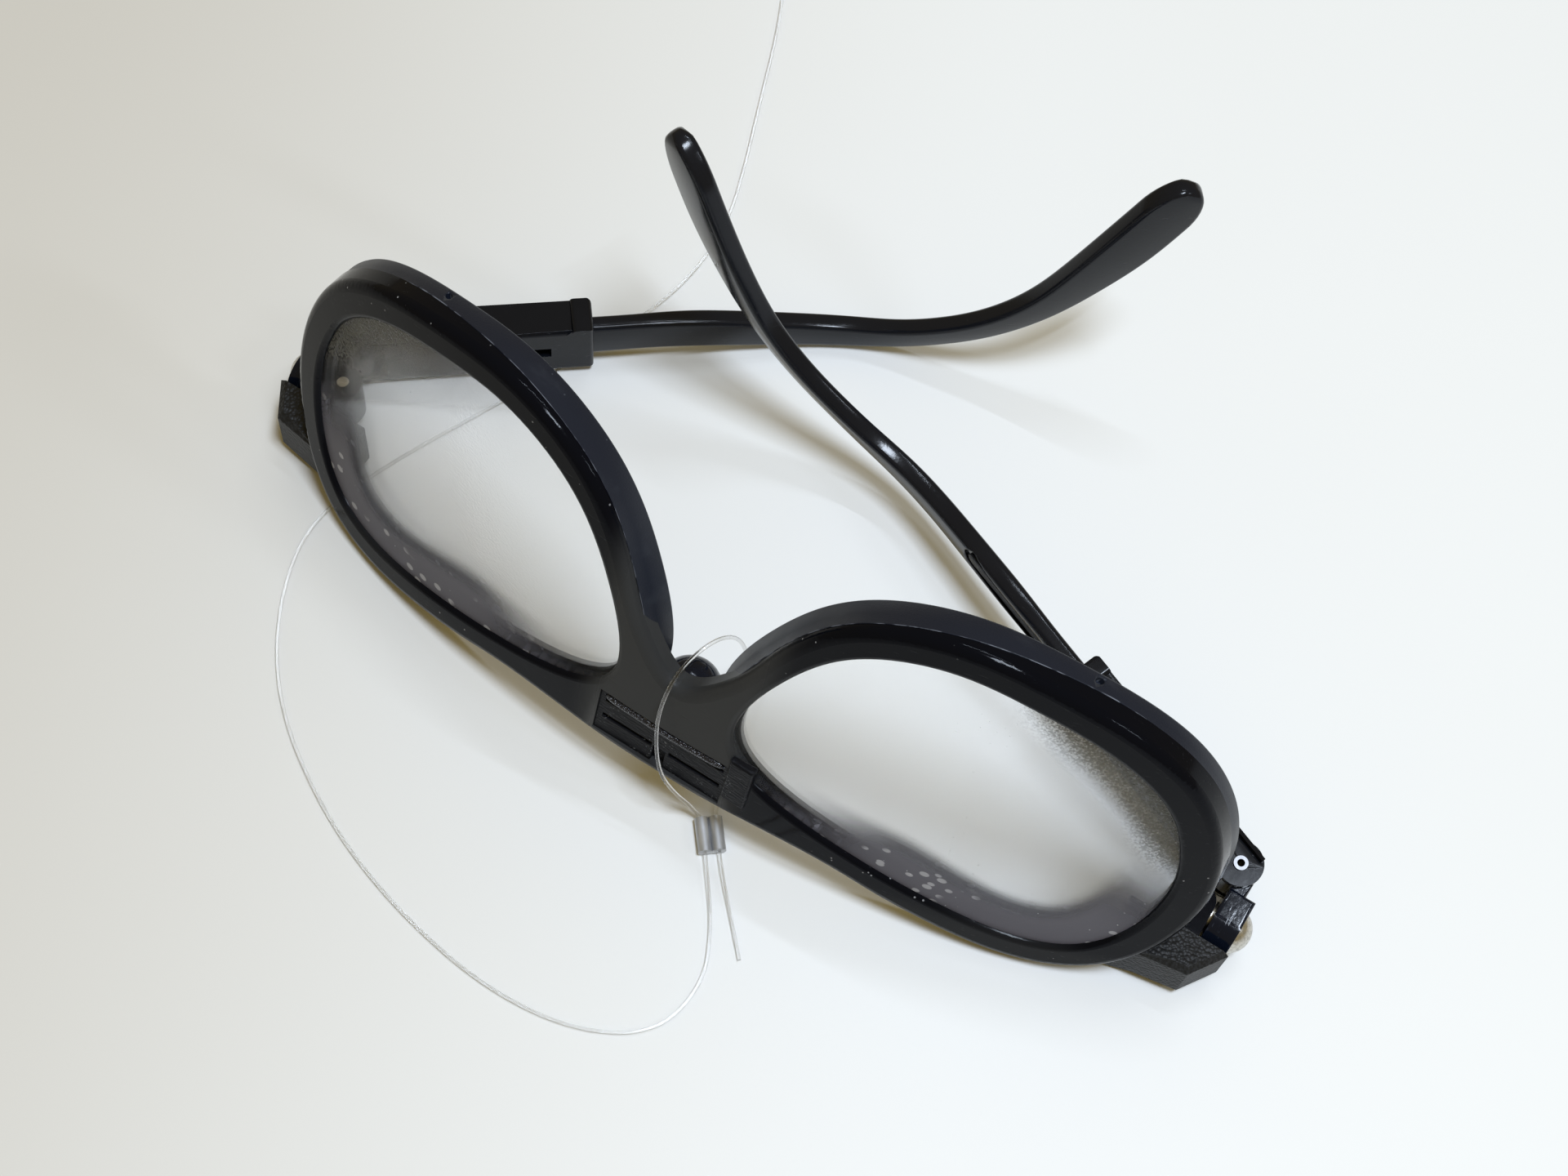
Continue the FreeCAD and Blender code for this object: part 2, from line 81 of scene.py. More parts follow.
# ---------------------------------------------------------------- shader expressions
class Socket:
    """A shader value that adds its own Math or Vector Math node when it is used in arithmetic."""

    def __init__(self, graph, link):
        self.graph, self.link = graph, link

    def _math(self, operation, *values):
        return self.graph.node("ShaderNodeMath", values, operation=operation)

    def __add__(self, other):
        return self._math("ADD", self, other)

    def __sub__(self, other):
        return self._math("SUBTRACT", self, other)

    def __mul__(self, other):
        return self._math("MULTIPLY", self, other)

    __radd__, __rmul__ = __add__, __mul__

    def clamp(self, low, high):
        """0 at low, 1 at high, smooth between."""
        return self.graph.node("ShaderNodeMapRange", {"Value": self, "From Min": low, "From Max": high},
                               interpolation_type="SMOOTHSTEP")


class Graph:
    """The nodes of one material; every node but the shader comes from node()."""

    def __init__(self, name):
        self.material = bpy.data.materials.new(name)
        self.material.use_nodes = True
        self.tree = self.material.node_tree
        self.shader = self.tree.nodes["Principled BSDF"]

    def node(self, kind, inputs=(), output=0, **settings):
        made = self.tree.nodes.new(kind)
        for key, value in settings.items():
            setattr(made, key, value)
        pairs = inputs.items() if isinstance(inputs, dict) else enumerate(inputs)
        for key, value in pairs:
            self.put(made.inputs[key], value)
        return Socket(self, made.outputs[output])

    def put(self, socket, value):
        if isinstance(value, Socket):
            self.tree.links.new(value.link, socket)
        else:
            socket.default_value = value

    def place(self, stretch=(1, 1, 1)):
        """Object coordinates in metres, stretched along the axes."""
        spot = self.node("ShaderNodeTexCoord", output="Object")
        return spot if stretch == (1, 1, 1) else self.node(
            "ShaderNodeVectorMath", {0: spot, 1: stretch}, operation="MULTIPLY")

    def noise(self, size, detail=3.0, stretch=(1, 1, 1)):
        """Cloudy noise, about 0.5 on average, with features of this size in metres."""
        return self.node("ShaderNodeTexNoise", {"Vector": self.place(stretch), "Scale": 1 / size,
                                                "Detail": detail})

    def cells(self, size, stretch=(1, 1, 1)):
        """Distance from the nearest of points about this far apart, as a share of that spacing."""
        return self.node("ShaderNodeTexVoronoi", {"Vector": self.place(stretch), "Scale": 1 / size})

    def mix(self, mask, first, second):
        first, second = (c if isinstance(c, Socket) else (*c, 1) for c in (first, second))
        return self.node("ShaderNodeMix", {0: mask, 6: first, 7: second}, output=2, data_type="RGBA")

    def bump(self, height, distance, strength=1.0):
        return self.node("ShaderNodeBump",
                         {"Height": height, "Distance": distance, "Strength": strength})

    def finish(self, **sockets):
        for name, value in sockets.items():
            self.put(self.shader.inputs[name.replace("_", " ")], value)
        return self.material


# ---------------------------------------------------------------- table and lights
# A smooth white laminate table under a ceiling lamp, two lamp tubes and a window in a warm
# room. Its colour carries a painted shade that makes it dimmer and warmer to the left.
TABLE_WHITE, TABLE_SHADE_WARM = (0.885, 0.90, 0.905), (0.655, 0.63, 0.58)
TABLE_HALF, TABLE_GAP = 3, 0.0001
SHADE_WAY, SHADE_FROM, SHADE_TO = (0.915, 0.404, 0), 0.050, -0.130
ROOM_COLOR, ROOM_STRENGTH = (1, 0.78, 0.34, 1), 0.30
LAMP_WHITE, LAMP_AIM = (0.86, 0.965, 1.12), (0, 0.03, 0)

table_mesh = bpy.data.meshes.new("table")
table_mesh.from_pydata([(x * TABLE_HALF, y * TABLE_HALF, 0)
                        for x, y in ((-1, -1), (1, -1), (1, 1), (-1, 1))], [], [(0, 1, 2, 3)])
table = bpy.data.objects.new("table", table_mesh)
table.location.z = cad_box[0][2] - TABLE_GAP
scene.collection.objects.link(table)
g = Graph("table_top")
# painted shade: the table's colour darkens and warms towards the left, with a little mottling
toward_shade = g.node("ShaderNodeVectorMath", {0: g.place(), 1: SHADE_WAY}, output=1,
                    operation="DOT_PRODUCT")
table_shade = toward_shade.clamp(SHADE_FROM, SHADE_TO) + g.noise(0.09, 1) * 0.12 - 0.06
table_mesh.materials.append(g.finish(Base_Color=g.mix(table_shade, TABLE_WHITE, TABLE_SHADE_WARM),
                                     Roughness=0.55))

world = bpy.data.worlds.new("room")
scene.world = world
world.use_nodes = True
room = world.node_tree.nodes["Background"]
room.inputs["Color"].default_value = ROOM_COLOR
room.inputs["Strength"].default_value = ROOM_STRENGTH


def softbox(name, place, size, power):
    """A rectangular lamp of this size and power, aimed at the eyeglasses."""
    data = bpy.data.lights.new(name, "AREA")
    data.shape = "RECTANGLE"
    data.size, data.size_y = size
    data.energy = power
    data.color = LAMP_WHITE
    lamp = bpy.data.objects.new(name, data)
    lamp.location = place
    lamp.rotation_euler = (Vector(LAMP_AIM) - Vector(place)).to_track_quat("-Z", "Y").to_euler()
    scene.collection.objects.link(lamp)


softbox("ceiling_lamp", (0.27, -0.02, 1.25), (0.30, 0.20), 9.0)
softbox("back_tube", (-0.02, 0.44, 1.20), (0.50, 0.012), 1.6)
softbox("front_tube", (0.36, -0.11, 1.20), (0.30, 0.02), 2.4)
softbox("window", (1.0, 0.15, 0.80), (0.10, 0.25), 1.0)
scene.view_settings.view_transform = "Standard"

# ---------------------------------------------------------------- tether
# Clear nylon monofilament, 0.5 mm thick: a loop round the bridge, both ends through the crimp,
# then a long loose curve over the table, under the left corner and away behind the temples.
LINE_D, LINE_SEGMENTS, LINE_SIDES = 0.0005, 12, 4
LOOP_ROUTE = (
    (7.6, 1.73, 0.95), (5.9, 1.7, 3.2), (4.0, 0.6, 7.2), (1.8, 0.1, 12.0), (0.2, 1.3, 17.5),
    (-0.8, 3.3, 23.0), (-0.6, 6.9, 28.2), (1.0, 11.5, 30.4), (2.4, 15.2, 27.7), (3.7, 16.7, 22.2),
    (5.5, 15.0, 16.0), (7.0, 11.4, 10.0), (7.8, 7.8, 5.2), (8.0, 5.0, 2.2), (9.0, 2.9, 0.95),
    (12.0, -0.75, 0.95), (14.6, -3.7, 0.6), (18.0, -7.2, 0.27), (22.0, -11.4, 0.27))
LINE_ROUTE = (
    (10.6, -1.9, 0.95), (13.2, -5.2, 0.6), (16.6, -9.6, 0.27), (20.0, -16.6, 0.27),
    (18.4, -25.4, 0.27), (9.4, -30.7, 0.27), (-3.0, -32.2, 0.27), (-17.0, -30.2, 0.27),
    (-28.8, -26.6, 0.27), (-38.2, -22.0, 0.27), (-46.6, -16.4, 0.27), (-53.2, -9.4, 0.27),
    (-58.2, -0.8, 0.27), (-60.6, 7.6, 0.27), (-59.2, 16.2, 0.27), (-55.6, 26.6, 0.27),
    (-50.8, 38.0, 0.27), (-46.2, 50.0, 0.27), (-42.0, 61.6, 0.27), (-39.9, 72.6, 0.27),
    (-40.8, 83.4, 0.27), (-44.6, 94.2, 0.27), (-48.8, 104.6, 0.27), (-52.8, 115.0, 0.27),
    (-57.0, 124.4, 0.27), (-61.6, 132.6, 0.27))

g = Graph("clear_nylon")
nylon = g.finish(Base_Color=(1, 1, 1, 1), Roughness=g.noise(0.003, 2) * 0.08 + 0.03, IOR=1.45,
                 Transmission_Weight=1.0, Alpha=0.8)


def in_metres(place):
    return tuple(c / 1000 for c in place)


def nylon_line(name, route):
    """A nylon line of even thickness along this route."""
    curve = bpy.data.curves.new(name, "CURVE")
    curve.dimensions = "3D"
    curve.bevel_depth = LINE_D / 2
    curve.bevel_resolution = LINE_SIDES
    curve.resolution_u = LINE_SEGMENTS
    curve.use_fill_caps = True
    spline = curve.splines.new("NURBS")
    spline.points.add(len(route) - 1)
    for point, place in zip(spline.points, route):
        point.co = (*in_metres(place), 1)
    spline.order_u = 3
    spline.use_endpoint_u = True
    line = bpy.data.objects.new(name, curve)
    scene.collection.objects.link(line)
    curve.materials.append(nylon)
    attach(line, "front")
    return line


loop = nylon_line("tether_loop_line", LOOP_ROUTE)
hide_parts("tether_loop")
long_line = nylon_line("tether_long_line", LINE_ROUTE)
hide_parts("tether_line")

# Crimp: a double barrel of drawn aluminium, squeezed once across the middle to grip both ends.
CRIMP_GREY, CRIMP_DARK = (0.56, 0.57, 0.59), (0.34, 0.35, 0.37)
g = Graph("drawn_aluminium")
streak = g.noise(0.0006, 4, (0.12, 0.10, 1))
crimp_metal = g.finish(
    Base_Color=g.mix(streak.clamp(0.35, 0.7), CRIMP_GREY, CRIMP_DARK),
    Roughness=streak * 0.25 + 0.36, Metallic=0.6, Normal=g.bump(streak, 0.00008))
BODIES = frame["record"]["behaviour"]["bodies"]
BODY_OF = {node: body for body, nodes in BODIES.items() for node in nodes}
WELD_DISTANCE, FLAT_ANGLE, SHARP_ANGLE = 2e-6, math.radians(1.5), math.radians(40)


def dress(node, material):
    """Give a CAD node its finish."""
    mesh = frame["nodes"][node].data
    mesh.materials.clear()
    mesh.materials.append(material)


def piece(name, mesh, material, body, stands_for=()):
    """Put a new mesh in the scene as a piece of the eyeglasses."""
    mesh.materials.clear()
    mesh.materials.append(material)
    obj = bpy.data.objects.new(name, mesh)
    scene.collection.objects.link(obj)
    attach(obj, body)
    if stands_for:
        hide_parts(*stands_for)
    for face in mesh.polygons:
        face.use_smooth = True
    return obj


def rounded(node, radius, material, long_radius=0, long_edge=0.0):
    """A node's form with its corners rounded off, the long ones more, as the mould leaves them."""
    mesh = frame["nodes"][node].data.copy()
    form = bmesh.new()
    form.from_mesh(mesh)
    bmesh.ops.remove_doubles(form, verts=form.verts, dist=WELD_DISTANCE)
    bmesh.ops.dissolve_limit(form, angle_limit=FLAT_ANGLE, verts=form.verts, edges=form.edges)
    if long_radius:
        long_ones = [e for e in form.edges if e.calc_length() > long_edge
                     and len(e.link_faces) == 2 and e.is_convex
                     and e.calc_face_angle() > SHARP_ANGLE]
        bmesh.ops.bevel(form, geom=long_ones, offset=long_radius, offset_type="OFFSET",
                        segments=4, profile=0.5, affect="EDGES", clamp_overlap=False)
    form.to_mesh(mesh)
    form.free()
    obj = piece(f"{node}_form", mesh, material, BODY_OF[node], (node,))
    bevel = obj.modifiers.new("corners", "BEVEL")
    bevel.width = radius
    bevel.segments = 3
    bevel.limit_method = "ANGLE"
    bevel.angle_limit = SHARP_ANGLE
    bevel.harden_normals = True
    flatten = obj.modifiers.new("flat_faces", "WEIGHTED_NORMAL")
    flatten.weight = 90
    return obj


dress("crimp_sleeve", crimp_metal)

# ---------------------------------------------------------------- front frame
# Both rims and the bridge in one injection moulding of black nylon, polished, with a soft
# roll round each opening. It carries wipe marks, hairline scratches and a little dust.
# the grey here is painted light: a lamp's sheen on the bridge and the white table's reflection on the
# low brow faces
FRAME_BLACK, SHEEN_GREY = (0.0028, 0.0033, 0.0056), (0.040, 0.041, 0.042)
DUST = (0.32, 0.33, 0.35)
DULL_SHEEN_BRIDGE, BROW_SHEEN_HEIGHTS = (0.0150, 0.0085), (0.0090, 0.0050)      # half width, height above the table

g = Graph("polished_black")
wipe = g.noise(0.011, 4)
hair = g.noise(0.00035, 2, (0.06, 1, 1)).clamp(0.66, 0.74)
fleck = g.cells(0.0019).clamp(0.085, 0.05) * g.noise(0.016, 1).clamp(0.50, 0.60)
across = g.node("ShaderNodeSeparateXYZ", {0: g.place()})
middle = g.node("ShaderNodeMath", {0: across}, operation="ABSOLUTE")
# painted reflection: faces low over the table are greyed as if they mirrored its white
low = g.node("ShaderNodeSeparateXYZ", {0: g.place()}, output=2).clamp(*BROW_SHEEN_HEIGHTS)
# near the bridge the finish is rougher, and its colour greyer as a painted sheen of the lamp
dull_and_sheen = middle.clamp(*DULL_SHEEN_BRIDGE) + low * 0.45
polished = g.finish(
    Base_Color=g.mix((dull_and_sheen * 0.8).clamp(0, 1), g.mix(fleck * 0.8, FRAME_BLACK, DUST),
                     SHEEN_GREY),
    Roughness=wipe * 0.10 + hair * 0.12 + fleck * 0.3 + dull_and_sheen * 0.22 + 0.04,
    Specular_IOR_Level=0.075, Normal=g.bump(wipe + hair * -0.25, 0.00012, 0.35))
dress("front_frame", polished)

# ---------------------------------------------------------------- lenses
# Clear polycarbonate sheets with a hard coat, hazed: pebbled and darker olive at the temple end,
# with a grey band of painted shade and dried drops along the brow side, and dust in the groove.
LENS_CENTRE = (40.2, 34.9)
OPENING_RADII = (20.5, 16.5, 14.3, 14.5, 17.8, 22.5, 27.7, 35.4, 29.8, 29.3, 33.0, 26.7)
FACE_CURVE, FACE_TILT, FACE_LIFT = 170.6, math.radians(13.6), 3.36
LENS_DEPTHS = (0.7, 2.6)
LENS_EDGE = 0.9
LENS_SPOKES, LENS_RINGS, RING_CROWDING = 128, 40, 1.3
# where the painted brow shade and the darker temple edge lie: turns round the opening, then
# millimetres in from the edge
BROW_IN, BROW_OUT, BROW_SHADE_GAPS = (0.50, 0.66), (0.84, 0.96), (5.4, 9.4)
TEMPLE_OUT, TEMPLE_IN, TEMPLE_GAPS, TEMPLE_FALL = (0.08, 0.22), (0.92, 0.99), (1.0, 11.0), 1.6
LENS_CLEAR, BROW_SHADE_TINT, TEMPLE_TINT = (1, 1, 0.985), (0.60, 0.59, 0.66), (0.16, 0.155, 0.125)
BROW_SHADE_GREY, DROP_WHITE, TEMPLE_OLIVE = (0.100, 0.097, 0.122), (0.62, 0.63, 0.68), (0.085, 0.082, 0.062)


def smooth_line(points, closed, count):
    """Points along the smoothest curve through these, by the usual cubic spline."""
    points = np.array(points, float)
    if closed:
        points = np.vstack([points, points[:1]])
    knots = np.concatenate([[0], np.cumsum(np.linalg.norm(np.diff(points[:, :2], axis=0), axis=1))])
    step, last = np.diff(knots), len(points) - 1
    rows, known = np.zeros((last + 1, last + 1)), np.zeros(points.shape)
    slope = np.diff(points, axis=0) / step[:, None]
    for k in range(1, last):
        rows[k, k - 1:k + 2] = step[k - 1], 2 * (step[k - 1] + step[k]), step[k]
        known[k] = 6 * (slope[k] - slope[k - 1])
    rows[0, 0] = rows[last, last] = 1
    if closed:
        rows[0, [0, 1, last - 1]] = 2 * (step[0] + step[-1]), step[0], step[-1]
        known[0] = 6 * (slope[0] - slope[-1])
        rows[last, 0] = -1
    bend = np.linalg.solve(rows, known)
    at = np.linspace(0, knots[-1], count, endpoint=not closed)
    k = np.clip(np.searchsorted(knots, at, "right") - 1, 0, last - 1)
    a, b = (knots[k + 1] - at)[:, None], (at - knots[k])[:, None]
    h = step[k][:, None]
    return ((bend[k] * a ** 3 + bend[k + 1] * b ** 3) / (6 * h)
            + (points[k] / h - bend[k] * h / 6) * a + (points[k + 1] / h - bend[k + 1] * h / 6) * b)


def opening_line(count):
    """The opening's edge from the temple side round by the cheek, and its outward directions."""
    corners = []
    for k, r in enumerate(OPENING_RADII):
        angle = math.radians(30 * k)
        corners.append((LENS_CENTRE[0] + r * math.cos(angle), LENS_CENTRE[1] + r * math.sin(angle)))
    line = smooth_line(corners, True, count)
    along = np.roll(line, -1, axis=0) - np.roll(line, 1, axis=0)
    along /= np.linalg.norm(along, axis=1)[:, None]
    return line, np.stack([along[:, 1], -along[:, 0]], axis=1)


def on_front(u, v, depth, sign=1):
    """A place at this depth behind the curved face, in metres in the row frame."""
    w = FACE_CURVE - math.sqrt((FACE_CURVE - depth) ** 2 - u * u)
    return Vector((sign * u, w * math.cos(FACE_TILT) + v * math.sin(FACE_TILT),
                   FACE_LIFT - w * math.sin(FACE_TILT) + v * math.cos(FACE_TILT))) / 1000


def smoothstep(low, high, value):
    share = min(max((value - low) / (high - low), 0), 1)
    return share * share * (3 - 2 * share)


def lens_mesh(name, sign):
    """A curved sheet that fills the opening, with its painted brow shade and its darker temple edge on
    the vertices.
    """
    line, outward = opening_line(LENS_SPOKES)
    edge = line + outward * LENS_EDGE
    middle = edge.mean(axis=0)
    form = bmesh.new()
    brow_shade, temple_edge = (form.verts.layers.float.new(n) for n in ("brow_shade", "temple_edge"))
    sides = []
    for depth in LENS_DEPTHS:
        rings = []
        for ring in range(LENS_RINGS):
            share = 1 - (ring / LENS_RINGS) ** RING_CROWDING
            row = []
            for k in range(LENS_SPOKES):
                u, v = middle + (edge[k] - middle) * share
                vert = form.verts.new(on_front(u, v, depth, sign))
                turn = k / LENS_SPOKES
                gap = (1 - share) * np.linalg.norm(edge[k] - middle)
                brow = smoothstep(*BROW_IN, turn) * (1 - smoothstep(*BROW_OUT, turn))
                vert[brow_shade] = brow * (1 - smoothstep(*BROW_SHADE_GAPS, gap))
                temple = 1 - smoothstep(*TEMPLE_OUT, turn) + smoothstep(*TEMPLE_IN, turn)
                vert[temple_edge] = min(temple, 1) * (1 - smoothstep(*TEMPLE_GAPS, gap)) ** TEMPLE_FALL
                row.append(vert)
            rings.append(row)
        hub = form.verts.new(on_front(*middle, depth, sign))
        for outer, inner in zip(rings, rings[1:]):
            for k in range(LENS_SPOKES):
                n = (k + 1) % LENS_SPOKES
                form.faces.new((outer[k], outer[n], inner[n], inner[k]))
        for k in range(LENS_SPOKES):
            form.faces.new((rings[-1][k], rings[-1][(k + 1) % LENS_SPOKES], hub))
        sides.append(rings[0])
    for k in range(LENS_SPOKES):
        n = (k + 1) % LENS_SPOKES
        form.faces.new((sides[0][k], sides[0][n], sides[1][n], sides[1][k]))
    bmesh.ops.recalc_face_normals(form, faces=form.faces)
    mesh = bpy.data.meshes.new(name)
    form.to_mesh(mesh)
    form.free()
    return mesh


g = Graph("hazed_polycarbonate")
brow_shade = g.node("ShaderNodeAttribute", output=2, attribute_name="brow_shade")
temple_edge = g.node("ShaderNodeAttribute", output=2, attribute_name="temple_edge")
cloud = g.noise(0.012, 4)
grain = g.noise(0.00034, 2)
drops = g.cells(0.0027, (1, 1, 1.4)).clamp(0.27, 0.21) * g.noise(0.010, 1).clamp(0.44, 0.52)
dust = g.cells(0.0016).clamp(0.07, 0.035) * g.noise(0.02, 1).clamp(0.42, 0.6)
# towards the temple end the sheet is pebbled and its colour darker and olive
pebbled = (temple_edge * (grain.clamp(0.36, 0.62) * 1.1 + 0.4)).clamp(0, 1)
# painted shade: along the brow the clear colour turns to a grey band
tint = g.mix(brow_shade * 0.5 + cloud * 0.06 - 0.03, LENS_CLEAR, BROW_SHADE_TINT)
g.put(g.shader.inputs["Base Color"], g.mix(pebbled, tint, TEMPLE_TINT))
g.put(g.shader.inputs["Roughness"], temple_edge * 0.06 + cloud * 0.05 + brow_shade * 0.10 + dust * 0.2 + 0.13)
relief = g.bump(grain * (temple_edge * 0.9 + 0.1), 0.00016, 0.8)
g.put(g.shader.inputs["Normal"], relief)
for name, value in (("Transmission Weight", 0.97), ("IOR", 1.14), ("Alpha", 0.28)):
    g.shader.inputs[name].default_value = value
# an opaque layer over the sheet: a painted grey shade along the brow, with dust and dried drops as
# lighter specks, olive where pebbled
shade_and_dust_color = g.mix(pebbled, g.mix(drops * 0.45 + dust * 0.8, BROW_SHADE_GREY, DROP_WHITE), TEMPLE_OLIVE)
shade_and_dust_layer = g.node("ShaderNodeBsdfPrincipled", {"Base Color": shade_and_dust_color, "Roughness": 0.42,
                                          "Specular IOR Level": 0.3, "Normal": relief})
share = brow_shade * 0.80 + pebbled * 0.60 + dust * 0.35 + drops * brow_shade * 0.2
surface = g.node("ShaderNodeMixShader",
                 {0: share.clamp(0, 1), 1: Socket(g, g.shader.outputs[0]), 2: shade_and_dust_layer})
g.put(g.tree.nodes["Material Output"].inputs["Surface"], surface)
lens_plastic = g.material
for side, sign in (("right", 1), ("left", -1)):
    piece(f"{side}_lens_sheet", lens_mesh(f"{side}_lens_sheet", sign), lens_plastic, "front",
          (f"{side}_lens",))

# ---------------------------------------------------------------- cheek guards
# Satin black strips welded to the backs of the rims, from the temple round the cheek to the
# nose, where each flares out from the rim's edge. A small vent slot is pierced near the temple.
GUARD_TURNS = (0.925, 1.52)
GUARD_DEPTHS = (3.28, 5.8)
GUARD_INNER = 2.4
RIM_WIDTH, NASAL_EASE, NASAL_TURNS = 4.8, 1.3, (1.25, 1.41)
GUARD_STATIONS, OUTLINE_POINTS = 150, 720
FLARE_TURNS, STEP_TURNS, FLARE_FORWARD = (1.12, 1.28), (1.09, 1.13), 1.75
GUARD_CORNER, GUARD_ROLL = 0.32, 0.09
VENT_TURN, VENT_R, VENT_STRETCH, VENT_DEPTH, VENT_REACH = 1.145, 0.42, 1.5, 4.55, (6.0, 4.0)
GUARD_BLACK, GUARD_RUBBED = (0.0095, 0.0125, 0.0225), (0.075, 0.085, 0.105)
GUARD_EDGE = (0.24, 0.26, 0.31)


def guard_profile(turn):
    """Outset and depth round the strip's section, front outer corner first."""
    rim = RIM_WIDTH - NASAL_EASE * smoothstep(*NASAL_TURNS, turn)
    flare = smoothstep(*FLARE_TURNS, turn)
    end = smoothstep(0, 0.02, turn - GUARD_TURNS[0]) * smoothstep(0, 0.035, GUARD_TURNS[1] - turn)
    outer = rim - 0.14 + 0.21 * smoothstep(*STEP_TURNS, turn)
    lip = rim - 0.12 + (RIM_WIDTH - rim + 0.15) * flare
    front_depth = GUARD_DEPTHS[0] - FLARE_FORWARD * flare
    deep = front_depth + (GUARD_DEPTHS[1] - front_depth) * (0.35 + 0.65 * end)
    inner = GUARD_INNER + (1 - end) * 0.7
    return ((outer, front_depth), (outer, front_depth + 0.13),
            (outer * 0.6 + lip * 0.4, front_depth * 0.6 + deep * 0.4),
            (lip, deep - GUARD_CORNER), (lip - GUARD_ROLL, deep - GUARD_ROLL),
            (lip - GUARD_CORNER, deep), (inner + GUARD_CORNER, deep),
            (inner + GUARD_ROLL, deep - GUARD_ROLL), (inner, deep - GUARD_CORNER),
            (inner, GUARD_DEPTHS[0]))


def guard_mesh(name, sign):
    """The strip swept round the opening, with its front outer edge marked as rubbed."""
    line, outward = opening_line(OUTLINE_POINTS)
    form = bmesh.new()
    rubbed = form.verts.layers.float.new("rubbed")
    rows = []
    for k in range(GUARD_STATIONS):
        turn = GUARD_TURNS[0] + (GUARD_TURNS[1] - GUARD_TURNS[0]) * k / (GUARD_STATIONS - 1)
        at = round(turn * len(line)) % len(line)
        rows.append([form.verts.new(on_front(*(line[at] + outward[at] * out), depth, sign))
                     for out, depth in guard_profile(turn)])
        rows[-1][0][rubbed] = 1
    for one, two in zip(rows, rows[1:]):
        for k in range(len(one)):
            n = (k + 1) % len(one)
            form.faces.new((one[k], one[n], two[n], two[k]))
    form.faces.new(rows[0])
    form.faces.new(rows[-1][::-1])
    bmesh.ops.recalc_face_normals(form, faces=form.faces)
    mesh = bpy.data.meshes.new(name)
    form.to_mesh(mesh)
    form.free()
    return mesh


g = Graph("satin_guard")
speckle = g.noise(0.00022, 2)
rub = g.noise(0.004, 5, (0.5, 1, 1))
chips = g.cells(0.0018).clamp(0.08, 0.04) * g.noise(0.012, 1).clamp(0.55, 0.65)
edge = g.node("ShaderNodeAttribute", output=2, attribute_name="rubbed")
edge = edge * g.noise(0.002, 3).clamp(0.42, 0.6)
satin = g.finish(
    Base_Color=g.mix(edge * 0.8, g.mix(chips * 0.5 + rub.clamp(0.55, 0.8) * 0.2, GUARD_BLACK,
                                       GUARD_RUBBED), GUARD_EDGE),
    Roughness=rub * 0.14 + 0.32, Specular_IOR_Level=0.25,
    Normal=g.bump(speckle * 0.5 + rub, 0.00006, 0.6))
for side, sign in (("right", 1), ("left", -1)):
    guard = piece(f"{side}_guard_strip", guard_mesh(f"{side}_guard_strip", sign), satin, "front",
                  (f"{side}_cheek_guard",))
    line, outward = opening_line(OUTLINE_POINTS)
    at = round(VENT_TURN * OUTLINE_POINTS) % OUTLINE_POINTS
    outside, inside = (on_front(*(line[at] + outward[at] * out), VENT_DEPTH, sign)
                       for out in VENT_REACH)
    vent = bmesh.new()
    bmesh.ops.create_cone(vent, segments=16, radius1=VENT_R / 1000, radius2=VENT_R / 1000,
                          cap_ends=True, depth=(outside - inside).length)
    turned = (outside - inside).to_track_quat("Z", "Y").to_matrix().to_4x4()
    vent.transform(Matrix.Translation((outside + inside) / 2) @ turned
                   @ Matrix.Diagonal((1, VENT_STRETCH, 1, 1)))
    vent_mesh = bpy.data.meshes.new("vent_cut")
    vent.to_mesh(vent_mesh)
    vent.free()
    cutter = bpy.data.objects.new("vent_cut", vent_mesh)
    scene.collection.objects.link(cutter)
    pierce = guard.modifiers.new("vent", "BOOLEAN")
    pierce.object, pierce.operation, pierce.solver = cutter, "DIFFERENCE", "EXACT"
    bpy.context.view_layer.update()
    whole = guard.evaluated_get(bpy.context.evaluated_depsgraph_get())
    pierced = bpy.data.meshes.new_from_object(whole)
    guard.modifiers.clear()
    guard.data = pierced
    bpy.data.objects.remove(cutter)

# ---------------------------------------------------------------- bridge pieces
# A ribbed strip of scuffed black nylon lies in the bridge's channel, an end block closes the
# channel on the right, and a rounded saddle nub stands behind under the nose arch.
g = Graph("glinting_scuffed_strip")
rib = g.noise(0.00030, 3, (0.25, 1, 1))
# the glints are painted highlights: lighter specks in the strip's base colour
glint = g.noise(0.00028, 2).clamp(0.60, 0.72) * g.noise(0.003, 2).clamp(0.5, 0.6)
strip = g.finish(Base_Color=g.mix(glint, (0.0045, 0.0050, 0.0075), (0.14, 0.15, 0.17)),
                 Roughness=rib * 0.3 + 0.26, Specular_IOR_Level=0.12, Normal=g.bump(rib, 0.00015, 0.8))
rounded("bridge_insert", 0.00012, strip)

